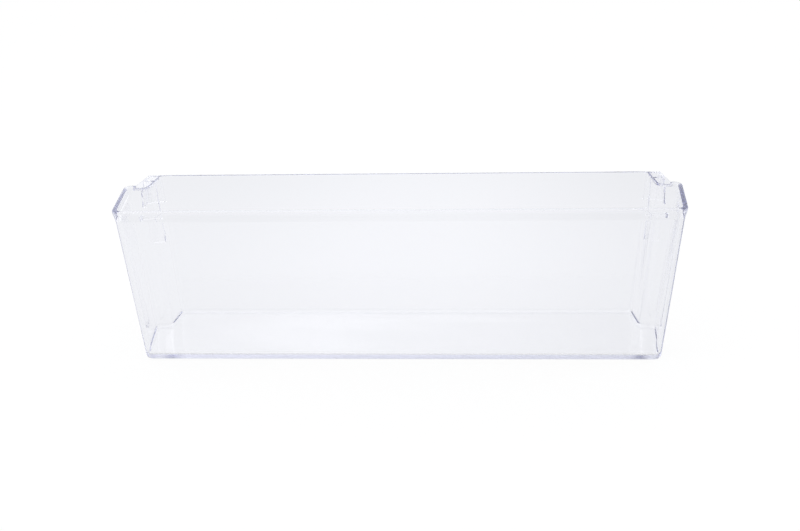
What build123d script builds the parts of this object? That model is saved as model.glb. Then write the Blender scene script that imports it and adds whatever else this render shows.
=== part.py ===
"""Door shelf of a refrigerator: one clear moulded bin with two sockets for the lugs of the door.

The frame has +Z up and the front of the shelf at -Y.  The origin is the middle of the underside.
All sizes are in millimetres, all drafts in degrees.
"""

import os

from build123d import *

# Overall sizes, over the rim
overall_width = 450.2
overall_depth = 86.0
rim_height = 132.0
wall = 2.4
floor_thickness = 3.6

# Each side runs out a little towards its back corner.  Behind that corner the bin steps in, so that the
# lugs of the door find room beside the rear part
side_splay = 5.4
rear_depth = 28.0
neck_inset = 17.3
neck_splay = 4.0

# How much each wall leans in towards the floor
front_draft = 0.25
side_draft = 4.1
step_draft = 0.2
neck_draft = 2.65
rear_draft = 0.65

# Thick rim, wedge-shaped below, that stands out more at the front than at the sides, and how much lower the
# rear part is
rim_flare = 1.7
rim_side_flare = 0.6
rim_band = 9.0
rim_edge = 2.4
rim_ledge = 0.2
rim_rounding = 1.2
rim_return = 9.4
rear_drop = 1.6
edge_rounding = 0.8

# Corner radii of the outside in plan, of the underside and of the floor.  The bend at the neck has nearly
# the same radius on both faces
front_corner = 7.0
back_corner = 6.0
neck_corner = 6.0
neck_corner_inside = 6.4
rear_corner = 6.0
underside_rounding = 3.0
floor_rounding = 0.7 * (min(back_corner, rear_corner) - wall)

# Sockets that drop over the lugs of the door: a roof, a box round each pocket and a tall web in front of it
socket_roof = 2.6
socket_wall = 2.4
socket_height = 23.5
socket_length = 13.5
socket_corner = 2.0
socket_setback = 0.4
pocket_corner = 1.0
mouth_rounding = 0.5
skirt_draft = 6.5
skirt_setback = 0.4
roof_inset = 6.5
roof_splay = 6.0
web_height = 55.5
web_setback = 2.2
web_taper = 0.1
web_corner = 3.0

# Places worked out from the sizes above
rim_front_y = -overall_depth / 2
front_y = rim_front_y + rim_flare
rear_y = overall_depth / 2
step_y = rear_y - rear_depth
rim_plane = Plane.XY.offset(rim_height)
rim_start = rim_height - rim_band
roof_top = rim_height - rear_drop
roof_underside = roof_top - socket_roof

# Corners of the right half of the rim and of the bin below it, from the front to the rear
rim_front = (overall_width / 2 - side_splay, rim_front_y)
rim_back = (overall_width / 2, step_y + rim_ledge)
front_point = (rim_front[0] - rim_side_flare, front_y)
back_point = (rim_back[0] - rim_side_flare, step_y)
neck_point = (rim_back[0] - neck_inset, step_y)
rear_point = (neck_point[0] - neck_splay, rear_y)
right_half = [front_point, back_point, neck_point, rear_point]


def both_halves(points):
    """Points of a whole plan from those of its right half."""
    return [*points, *[(-x, y) for x, y in reversed(points)]]


def between(start, end, share=0.5):
    """Point on the line through two plan points."""
    return (start[0] + (end[0] - start[0]) * share, start[1] + (end[1] - start[1]) * share)


def at_depth(start, end, y):
    """Point at depth y on the line through two plan points."""
    return between(start, end, (y - start[1]) / (end[1] - start[1]))


# A point of each wall in plan, with the draft of the wall
walls = [
    ((0, front_y), front_draft),
    (between(front_point, back_point), side_draft),
    (between(back_point, neck_point), step_draft),
    (between(neck_point, rear_point), neck_draft),
    ((0, rear_y), rear_draft),
]


def bin_form(inset, bottom, top, corners, foot):
    """Block in the form of the bin: leaning walls, rounded upright corners and a rounded foot."""
    middle = (bottom + top) / 2
    with BuildPart() as form:
        with BuildSketch(Plane.XY.offset(bottom)):
            with BuildLine():
                Polyline(*both_halves(right_half), close=True)
            make_face()
            if inset > 0:
                offset(amount=-inset, kind=Kind.INTERSECTION)
        extrude(amount=top - bottom)
        for (x, y), angle in walls:
            leaning = [form.faces().sort_by_distance((side, y, middle))[0] for side in {x, -x}]
            draft(leaning, rim_plane, -angle)
        for (x, y), radius in zip(right_half, corners):
            uprights = form.edges().filter_by(lambda edge: edge.bounding_box().size.Z > top - middle)
            fillet([uprights.sort_by_distance((side, y, top))[0] for side in (x, -x)], radius)
        fillet(form.faces().sort_by(Axis.Z)[0].edges(), foot)
    return form.part


# The bin's own form, the middle of its walls and its inside space, which is open at the top
outer_corners = [front_corner, back_corner, neck_corner, rear_corner]
inner_corners = [front_corner - wall, back_corner - wall, neck_corner_inside, rear_corner - wall]
middle_corners = [(outside + inside) / 2 for outside, inside in zip(outer_corners, inner_corners)]
with BuildPart() as outer:
    add(bin_form(0, 0, roof_top, outer_corners, underside_rounding))
with BuildPart() as wall_core:
    add(bin_form(wall / 2, floor_thickness / 2, rim_height, middle_corners, floor_rounding))
with BuildPart() as cavity:
    add(bin_form(wall, floor_thickness, rim_height + rim_band, inner_corners, floor_rounding))

# Rim: an upright edge over a wedge that runs out into the wall, with its ends behind the back corners
with BuildPart() as rim:
    rim_corners = [front_corner + rim_side_flare, back_corner + rim_side_flare]
    with BuildSketch(Plane.XY.offset(rim_start)):
        with BuildLine():
            FilletPolyline(*both_halves([rim_front, rim_back]), radius=rim_corners + rim_corners[::-1], close=True)
        make_face()
    extrude(amount=rim_band)
    rim_foot = rim.faces().sort_by(Axis.Z)[0]
    chamfer(rim_foot.edges(), rim_flare - rim_ledge, rim_band - rim_edge, reference=rim_foot)
    with BuildSketch(Plane.XY.offset(rim_start)):
        with Locations((0, rear_y)):
            Rectangle(overall_width - 2 * rim_return, 2 * (rear_depth + 2 * wall))
    extrude(amount=rim_band, mode=Mode.SUBTRACT)
    add(cavity.part, mode=Mode.SUBTRACT)
    rim_land = rim.faces().sort_by(Axis.Z)[-1]
    fillet(rim_land.edges().filter_by(Axis.Y, reverse=True), rim_rounding)

# Plan points of the right socket: the outer edge of its roof, the box below it and the pocket in the box
socket_rear_y = rear_y - socket_setback
box_rear_y = socket_rear_y - skirt_setback
box_front_y = socket_rear_y - socket_length
socket_mouth = roof_top - socket_height
roof_plane = Plane.XY.offset(roof_top)
roof_front = (rim_back[0] - roof_inset, step_y - wall)
roof_rear = (roof_front[0] - roof_splay, socket_rear_y)
box_front = (at_depth(roof_front, roof_rear, box_front_y)[0] - skirt_setback, box_front_y)
box_rear = (at_depth(roof_front, roof_rear, box_rear_y)[0] - skirt_setback, box_rear_y)
pocket_front = (box_front[0] - socket_wall, box_front_y + socket_wall)
pocket_rear = (box_rear[0] - socket_wall, box_rear_y - socket_wall)
inner_x = rear_point[0] - rear_corner - wall


def socket_block(front, rear, height, radius):
    """Upright block on the level of the right socket's mouth, with a leaning outer side and rounded corners."""
    with BuildPart() as block:
        with BuildSketch(Plane.XY.offset(socket_mouth)):
            with BuildLine():
                Polyline((inner_x, front[1]), front, rear, (inner_x, rear[1]), close=True)
            make_face()
        extrude(amount=height)
        draft(block.faces().sort_by(Axis.X)[-1], roof_plane, skirt_draft)
        uprights = block.edges().filter_by(lambda edge: edge.bounding_box().size.Z > height / 2)
        fillet(uprights.sort_by(Axis.X)[-2:], radius)
    return block.part


# Box of the right socket, hollowed by the pocket, which is open below and wider towards its mouth
with BuildPart() as socket_box:
    add(socket_block(box_front, box_rear, socket_height - socket_roof / 2, socket_corner))
    add(socket_block(pocket_front, pocket_rear, socket_height - socket_roof, pocket_corner), mode=Mode.SUBTRACT)
    mouth_edges = socket_box.faces().sort_by(Axis.Z)[0].edges()
    fillet(mouth_edges.filter_by(lambda edge: edge.center().X > inner_x + wall), mouth_rounding)

# Right socket: a roof that reaches back from the step, the box below it and a tall web at the front of the box
with BuildPart() as socket:
    with BuildSketch(Plane.XY.offset(roof_underside)):
        with BuildLine():
            Polyline((inner_x, roof_front[1]), roof_front, roof_rear, (inner_x, socket_rear_y), close=True)
        make_face()
    extrude(amount=socket_roof)
    fillet(socket.edges().filter_by(Axis.Z).sort_by_distance((*roof_rear, roof_top))[0], socket_corner)
    roof_edges = socket.faces().sort_by(Axis.Z)[-1].edges()
    fillet(roof_edges.sort_by_distance((*roof_rear, roof_top))[:3], edge_rounding)
    add(socket_box.part)
    with BuildSketch(Plane.XZ.offset(-box_front_y - socket_wall)):
        with BuildLine():
            web_top = (box_front[0] - web_setback, roof_underside)
            web_foot = (web_top[0] - web_taper, roof_top - web_height)
            FilletPolyline(
                (inner_x, web_top[1]),
                web_top,
                web_foot,
                (inner_x, web_foot[1]),
                radius=[0, 0, web_corner, 0],
                close=True,
            )
        make_face()
    extrude(amount=socket_wall)
    add(wall_core.part, mode=Mode.SUBTRACT)

# The whole shelf: the bin hollowed, with rounded upper edges, the rim and both sockets
with BuildPart() as door_shelf:
    add(outer.part)
    add(cavity.part, mode=Mode.SUBTRACT)
    fillet(door_shelf.faces().sort_by(Axis.Z)[-1].edges(), edge_rounding)
    add(rim.part)
    add(socket.part)
    mirror(socket.part, about=Plane.YZ)

door_shelf.part.label = "door_shelf"

os.makedirs("parts", exist_ok=True)
export_step(door_shelf.part, "parts/door_shelf.step")
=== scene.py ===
# %% [markdown]
# # A clear door shelf of a refrigerator
#
# The shelf is one injection moulding in clear polystyrene: an open bin with a thick rim round its front and
# sides, a rear part that steps in, and two sockets that drop over the lugs of the door.  Nothing on it is
# painted or printed, so all that the eye gets is form, gloss and the light that bends through the plastic.
# That makes three things matter here: smooth surfaces, a plastic that bends and absorbs light as the real one
# does, and a bright studio for it to show.

import math

import bmesh
import bpy
from mathutils import Matrix, Vector


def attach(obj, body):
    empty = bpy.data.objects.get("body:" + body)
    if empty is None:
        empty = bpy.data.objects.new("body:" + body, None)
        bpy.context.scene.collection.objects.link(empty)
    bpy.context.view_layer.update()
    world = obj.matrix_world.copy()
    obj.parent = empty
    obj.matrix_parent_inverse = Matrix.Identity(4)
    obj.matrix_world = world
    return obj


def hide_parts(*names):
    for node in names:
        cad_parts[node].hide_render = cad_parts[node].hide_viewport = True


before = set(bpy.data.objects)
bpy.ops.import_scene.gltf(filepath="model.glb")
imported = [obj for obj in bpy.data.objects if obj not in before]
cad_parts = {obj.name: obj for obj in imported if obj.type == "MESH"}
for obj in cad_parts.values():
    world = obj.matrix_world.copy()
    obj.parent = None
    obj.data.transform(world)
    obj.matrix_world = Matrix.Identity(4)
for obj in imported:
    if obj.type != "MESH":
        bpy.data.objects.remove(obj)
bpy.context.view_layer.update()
scene = bpy.context.scene

# %% [markdown]
# Colours are written as sRGB hex values, the way a colour picker gives them, and the shader wants linear numbers.
# One function does the change, and one more adds a node and fills its sockets, in their order or by name, so that
# the materials below read as a list of what they are made of.  A Map Range lists its value, then the ends of the
# range that it comes from and the ends of the one that it goes to.


# %% Helpers
def linear(hex_colour):
    """Linear RGBA from an sRGB hex colour."""
    values = [int(hex_colour[i:i + 2], 16) / 255 for i in (1, 3, 5)]
    return [v / 12.92 if v <= 0.04045 else ((v + 0.055) / 1.055) ** 2.4 for v in values] + [1.0]


def add_node(tree, kind, *values, **named):
    """A new node of that kind, with its first sockets, its named sockets and its settings filled in or linked."""
    node = tree.nodes.new(kind)
    filled = list(zip(node.inputs, values))
    for name, value in named.items():
        label = name.replace("_", " ")
        if label in node.inputs:
            filled.append((node.inputs[label], value))
        else:
            setattr(node, name, value)
    for socket, value in filled:
        if isinstance(value, bpy.types.NodeSocket):
            tree.links.new(value, socket)
        else:
            socket.default_value = value
    return node


def new_material(name):
    """An empty node material and its tree."""
    material = bpy.data.materials.new(name)
    material.use_nodes = True
    material.node_tree.nodes.clear()
    return material, material.node_tree


# %% [markdown]
# The walls of a moulding are never optically flat.  The melt cools unevenly, so a polished wall waves by a few
# microns over some centimetres, and it carries finer flow marks.  Both are far too small to be modelled, so bumps
# carry them: a wide soft noise for the waves, 4 cm from crest to crest, and a fainter one of 6 mm for the flow
# marks.  A third noise varies the gloss a little, as handling does.

# %% Clear polystyrene: relief and gloss
plastic, tree = new_material("clear polystyrene")
place = add_node(tree, "ShaderNodeTexCoord").outputs["Object"]
waves = add_node(tree, "ShaderNodeTexNoise", Vector=place, Scale=28.0, Detail=1.5, Roughness=0.4)
flow = add_node(tree, "ShaderNodeTexNoise", Vector=place, Scale=170.0, Detail=1.0, Roughness=0.4)
rubbing = add_node(tree, "ShaderNodeTexNoise", Vector=place, Scale=260.0, Detail=3.0, Roughness=0.6)
gloss = add_node(tree, "ShaderNodeMapRange", rubbing.outputs["Fac"], 0.35, 0.75, 0.012, 0.045)
relief = add_node(tree, "ShaderNodeBump", Height=waves.outputs["Fac"], Strength=0.08, Distance=0.0006)
relief = add_node(tree, "ShaderNodeBump", Height=flow.outputs["Fac"], Strength=0.03, Distance=0.0002,
                  Normal=relief.outputs["Normal"])
print("relief of two noises, roughness 0.012 to 0.045")

# %% [markdown]
# Along the foot of the front wall the photograph shows a dull, finely dotted band.  The mould was probably left
# satin there, up to about 5 mm above the table.  That strip scatters the light that would otherwise run straight
# through the floor.  The tint comes from absorption inside the plastic, not from a coloured surface: a wall
# 2.4 mm thick stays almost colourless, and light that is caught in a rim or a corner and runs along it for
# decimetres turns deep blue violet.

# %% Clear polystyrene: satin foot and tint
axis = add_node(tree, "ShaderNodeSeparateXYZ", place)
low = add_node(tree, "ShaderNodeMapRange", axis.outputs["Z"], 0.005, 0.007, 0.34, 0.0)
ahead = add_node(tree, "ShaderNodeMapRange", axis.outputs["Y"], -0.039, -0.036, 1.0, 0.0)
finish = add_node(tree, "ShaderNodeMath", low.outputs["Result"], ahead.outputs["Result"], gloss.outputs["Result"],
                  operation="MULTIPLY_ADD")
shader = add_node(tree, "ShaderNodeBsdfPrincipled", Base_Color=linear("#FFFFFF"), IOR=1.59, Transmission_Weight=1.0,
                  Roughness=finish.outputs["Value"], Normal=relief.outputs["Normal"])
inside = add_node(tree, "ShaderNodeVolumeAbsorption", Color=linear("#959ACB"), Density=3.6)
add_node(tree, "ShaderNodeOutputMaterial", Surface=shader.outputs["BSDF"], Volume=inside.outputs["Volume"])
print("plastic:", plastic.name, "with", len(tree.nodes), "nodes")

# %% [markdown]
# The solid arrives as loose triangles.  Light that passes through a clear piece meets every surface twice, so the
# mesh has to be one closed skin: a copy is welded, and slivers without area are taken out.

# %% One closed skin
weld = 1e-6
sliver = 1e-7
skin = bmesh.new()
skin.from_mesh(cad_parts["door_shelf"].data)
bmesh.ops.remove_doubles(skin, verts=skin.verts, dist=weld)
bmesh.ops.dissolve_degenerate(skin, edges=skin.edges, dist=sliver)
print("skin:", len(skin.verts), "points,", sum(len(edge.link_faces) != 2 for edge in skin.edges), "open edges")

# %% [markdown]
# The photograph shows the rim along both sides as a band 4 to 5 mm wide, dark because light runs along inside it.
# The solid's rim is 3 mm wide there, so the skin gets a slim wedge on the inner face: two level cuts make its foot
# and its top, and the points above them move in by 1.3 mm, by less and less round the corners and not at all along
# the front and the rear.  The inner face begins at the rounding of the upper edge, and the lean of the wall shifts
# it by less than 0.8 mm over the height of the wedge.

# %% Wedge inside the rim
wedge_levels = (0.1225, 0.1275)
wedge = 0.0013
wall = 0.0024
rim_rounding = 0.0012
edge_reach = rim_rounding + 0.0003
lean_reach = 0.0008
front_corner, back_corner = 0.007, 0.006
side_front, side_back = Vector((0.2191, -0.0413)), Vector((0.2245, 0.015))
along = (side_back - side_front).normalized()
inward = Vector((-along.y, along.x))
corners = [(side_front.y + front_corner, -1, front_corner), (side_back.y - back_corner, 1, back_corner)]


def wedge_share(plan):
    """How much of the wedge a plan point of the right half takes, from 0 to 1."""
    depth = (plan - side_front).dot(inward)
    for start, way, radius in corners:
        beyond = way * (plan.y - start)
        if beyond > 0:
            on_inner_face = math.hypot(radius - depth, beyond) < radius - wall + edge_reach
            turned = beyond / (radius - wall)
            return math.sqrt(1 - turned ** 2) if on_inner_face and turned < 1 else 0.0
    return 1.0 if wall - edge_reach < depth < wall + lean_reach else 0.0


for level in wedge_levels:
    everything = [*skin.verts, *skin.edges, *skin.faces]
    bmesh.ops.bisect_plane(skin, geom=everything, dist=sliver, plane_co=(0, 0, level), plane_no=(0, 0, 1))
moved = 0
for vert in skin.verts:
    rise = (vert.co.z - wedge_levels[0]) / (wedge_levels[1] - wedge_levels[0])
    share = wedge_share(Vector((abs(vert.co.x), vert.co.y)))
    if rise > 0 and share > 0:
        shift = wedge * min(rise, 1.0) * share * inward
        vert.co.x += math.copysign(shift.x, -vert.co.x)
        vert.co.y += shift.y
        moved += 1
skin.normal_update()
print("wedge: moved", moved, "points")

# %% [markdown]
# Only edges sharper than the facets of the fillets stay creased, and so do the two lines of the wedge.  The
# finished skin stands in for the plain solid.

# %% The shelf
crease = math.radians(28)
for face in skin.faces:
    face.smooth = True
for edge in skin.edges:
    on_wedge = any(all(abs(vert.co.z - level) < weld for vert in edge.verts) for level in wedge_levels)
    edge.smooth = edge.calc_face_angle(0.0) < crease and not on_wedge
mesh = bpy.data.meshes.new("shelf_moulding")
skin.to_mesh(mesh)
skin.free()
mesh.materials.append(plastic)
shelf = bpy.data.objects.new("shelf_moulding", mesh)
scene.collection.objects.link(shelf)
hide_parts("door_shelf")
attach(shelf, "root")
print("shelf:", len(mesh.polygons), "faces")

# %% [markdown]
# The photograph shows the shelf cut out on white, but the grey lavender of the paper that it stood on is still
# there wherever one looks through the plastic.  So the sweep is white where the camera sees it straight and glows
# grey lavender through the plastic, with a painted pool of light in that glow: it is a little darker towards the
# ends and the back, as a pool of light falls off.  A small share of it always takes the light of the lamps, so
# that the shelf keeps a soft shadow under it.

# %% White sweep: painted pool of light in its glow
paper, tree = new_material("white paper sweep")
spot = add_node(tree, "ShaderNodeSeparateXYZ", add_node(tree, "ShaderNodeTexCoord").outputs["Object"])
# Painted pool of light: the grey lavender glow is dimmed towards the left and right ends and towards the back.
left = add_node(tree, "ShaderNodeMapRange", spot.outputs["X"], -0.27, -0.02, 0.945, 1.0,
                interpolation_type="SMOOTHSTEP")
right = add_node(tree, "ShaderNodeMapRange", spot.outputs["X"], 0.02, 0.3, 1.0, 0.915,
                 interpolation_type="SMOOTHSTEP")
back = add_node(tree, "ShaderNodeMapRange", spot.outputs["Y"], 0.15, 0.5, 1.0, 0.955,
                interpolation_type="SMOOTHSTEP")
ends = add_node(tree, "ShaderNodeMath", left.outputs["Result"], right.outputs["Result"], operation="MULTIPLY")
pool = add_node(tree, "ShaderNodeMath", ends.outputs["Value"], back.outputs["Result"], operation="MULTIPLY")
print("pool of light: 0.945 at the left, 0.915 at the right, 0.955 at the back")

# %% [markdown]
# The sheet itself is plain matt paper.  What kind of ray looks at it decides between white, grey lavender and the
# matt share.

# %% White sweep: paper and sheet
path = add_node(tree, "ShaderNodeLightPath")
seen = path.outputs["Is Camera Ray"]
bent = add_node(tree, "ShaderNodeMath", path.outputs["Is Transmission Ray"], path.outputs["Is Glossy Ray"],
                operation="MAXIMUM")
shown = add_node(tree, "ShaderNodeMath", seen, bent.outputs["Value"], operation="MAXIMUM")
glowing = add_node(tree, "ShaderNodeMath", shown.outputs["Value"], 0.94, operation="MULTIPLY")
matt = add_node(tree, "ShaderNodeBsdfDiffuse", Color=linear("#F4F4F4"))
white = add_node(tree, "ShaderNodeEmission", Color=linear("#FFFFFF"), Strength=1.0)
grey = add_node(tree, "ShaderNodeEmission", Color=linear("#F7F8FC"), Strength=pool.outputs["Value"])
shine = add_node(tree, "ShaderNodeMixShader", seen, grey.outputs["Emission"], white.outputs["Emission"])
mixed = add_node(tree, "ShaderNodeMixShader", glowing.outputs["Value"], matt.outputs["BSDF"],
                 shine.outputs["Shader"])
add_node(tree, "ShaderNodeOutputMaterial", Surface=mixed.outputs["Shader"])

half_width = 6.0
gap_below_shelf = 0.0005
sheet = bmesh.new()
bmesh.ops.create_grid(sheet, x_segments=1, y_segments=1, size=half_width)
sweep_mesh = bpy.data.meshes.new("sweep")
sheet.to_mesh(sweep_mesh)
sheet.free()
sweep_mesh.materials.append(paper)
sweep = bpy.data.objects.new("sweep", sweep_mesh)
scene.collection.objects.link(sweep)
sweep.location.z = -gap_below_shelf
print("sweep:", 2 * half_width, "m square")

# %% [markdown]
# The shelf stood in a bright, even studio, with the room behind the camera a little dimmer.  Three soft lights are
# built into it.  A wide one overhead lightens the lower edge, where one looks up through the floor.  A wash behind
# on the left makes the left half of the floor brighter than the right one, and the small window in it is the pale
# patch that mirrors in the floor.

# %% Studio world
world = bpy.data.worlds.new("studio")
scene.world = world
world.use_nodes = True
tree = world.node_tree
tree.nodes.clear()
direction = add_node(tree, "ShaderNodeTexCoord").outputs["Generated"]
axis = add_node(tree, "ShaderNodeSeparateXYZ", direction)
front = add_node(tree, "ShaderNodeMapRange", axis.outputs["Y"], -0.9, -0.2, 0.7, 1.0, interpolation_type="SMOOTHSTEP")
above = add_node(tree, "ShaderNodeMapRange", axis.outputs["Z"], 0.55, 0.75, 0.0, 0.4, interpolation_type="SMOOTHSTEP")
wash = add_node(tree, "ShaderNodeMapRange", axis.outputs["X"], -0.3, 0.15, 0.25, 0.0, interpolation_type="SMOOTHSTEP")
behind = add_node(tree, "ShaderNodeMapRange", axis.outputs["Y"], 0.5, 0.8, 0.0, 1.0, interpolation_type="SMOOTHSTEP")
toward = add_node(tree, "ShaderNodeVectorMath", direction, (-0.118, 0.866, 0.486), operation="DOT_PRODUCT")
window = add_node(tree, "ShaderNodeMapRange", toward.outputs["Value"], 0.997, 1.0, 0.0, 0.35,
                  interpolation_type="SMOOTHSTEP")
room = add_node(tree, "ShaderNodeMath", front.outputs["Result"], above.outputs["Result"], operation="ADD")
glow = add_node(tree, "ShaderNodeMath", wash.outputs["Result"], behind.outputs["Result"], window.outputs["Result"],
                operation="MULTIPLY_ADD")
total = add_node(tree, "ShaderNodeMath", room.outputs["Value"], glow.outputs["Value"], operation="ADD")
studio = add_node(tree, "ShaderNodeBackground", Color=linear("#F4F5F9"), Strength=total.outputs["Value"])
clean = add_node(tree, "ShaderNodeBackground", Color=linear("#FFFFFF"), Strength=1.0)
path = add_node(tree, "ShaderNodeLightPath")
mixed = add_node(tree, "ShaderNodeMixShader", path.outputs["Is Camera Ray"], studio.outputs["Background"],
                 clean.outputs["Background"])
add_node(tree, "ShaderNodeOutputWorld", Surface=mixed.outputs["Shader"])
print("studio of", len(tree.nodes), "nodes")

# %% [markdown]
# Two large soft lamps, one from each side above, give the rim its narrow highlights.

# %% Lamps
middle_of_shelf = Vector((0, 0, 0.06))
for name, stand, size, power in [
    ("left softbox", (-0.9, -0.3, 1.1), 0.7, 3.0),
    ("right softbox", (1.0, 0.1, 1.2), 0.7, 2.0),
]:
    lamp = bpy.data.lights.new(name, "AREA")
    lamp.size = size
    lamp.energy = power
    holder = bpy.data.objects.new(name, lamp)
    scene.collection.objects.link(holder)
    holder.location = stand
    holder.rotation_euler = (middle_of_shelf - Vector(stand)).to_track_quat("-Z", "Y").to_euler()
    print(name, power, "W")

# %% [markdown]
# The camera was fitted to corner points of the shelf in the photograph: it stands 0.79 m in front, looks 25
# degrees down, turns 4 degrees to the left and leans by less than 2 degrees.

# %% Camera
position = Vector((0.0498, -0.791, 0.4423))
look_down, turn, lean = math.radians(25.406), math.radians(3.625), math.radians(-1.731)
focal_pixels, image_width = 1070.0, 800
camera = bpy.data.cameras.new("camera")
camera.sensor_fit = "HORIZONTAL"
camera.sensor_width = 36.0
camera.lens = focal_pixels / image_width * camera.sensor_width
tripod = bpy.data.objects.new("camera", camera)
scene.collection.objects.link(tripod)
tripod.matrix_world = (
    Matrix.Translation(position)
    @ Matrix.Rotation(turn, 4, "Z")
    @ Matrix.Rotation(math.radians(90) - look_down, 4, "X")
    @ Matrix.Rotation(lean, 4, "Z")
)
scene.camera = tripod
print("lens", round(camera.lens, 2), "mm")

# %% [markdown]
# Light is reflected up to a few hundred times inside a rim before it leaves it, so the limits on bounces are
# raised; with the usual ones those rims would turn black.  Colours are shown as they are, without a film curve.

# %% Finish
bounces = 320
scene.cycles.max_bounces = bounces
scene.cycles.transmission_bounces = bounces
scene.cycles.glossy_bounces = bounces
scene.view_settings.view_transform = "Standard"
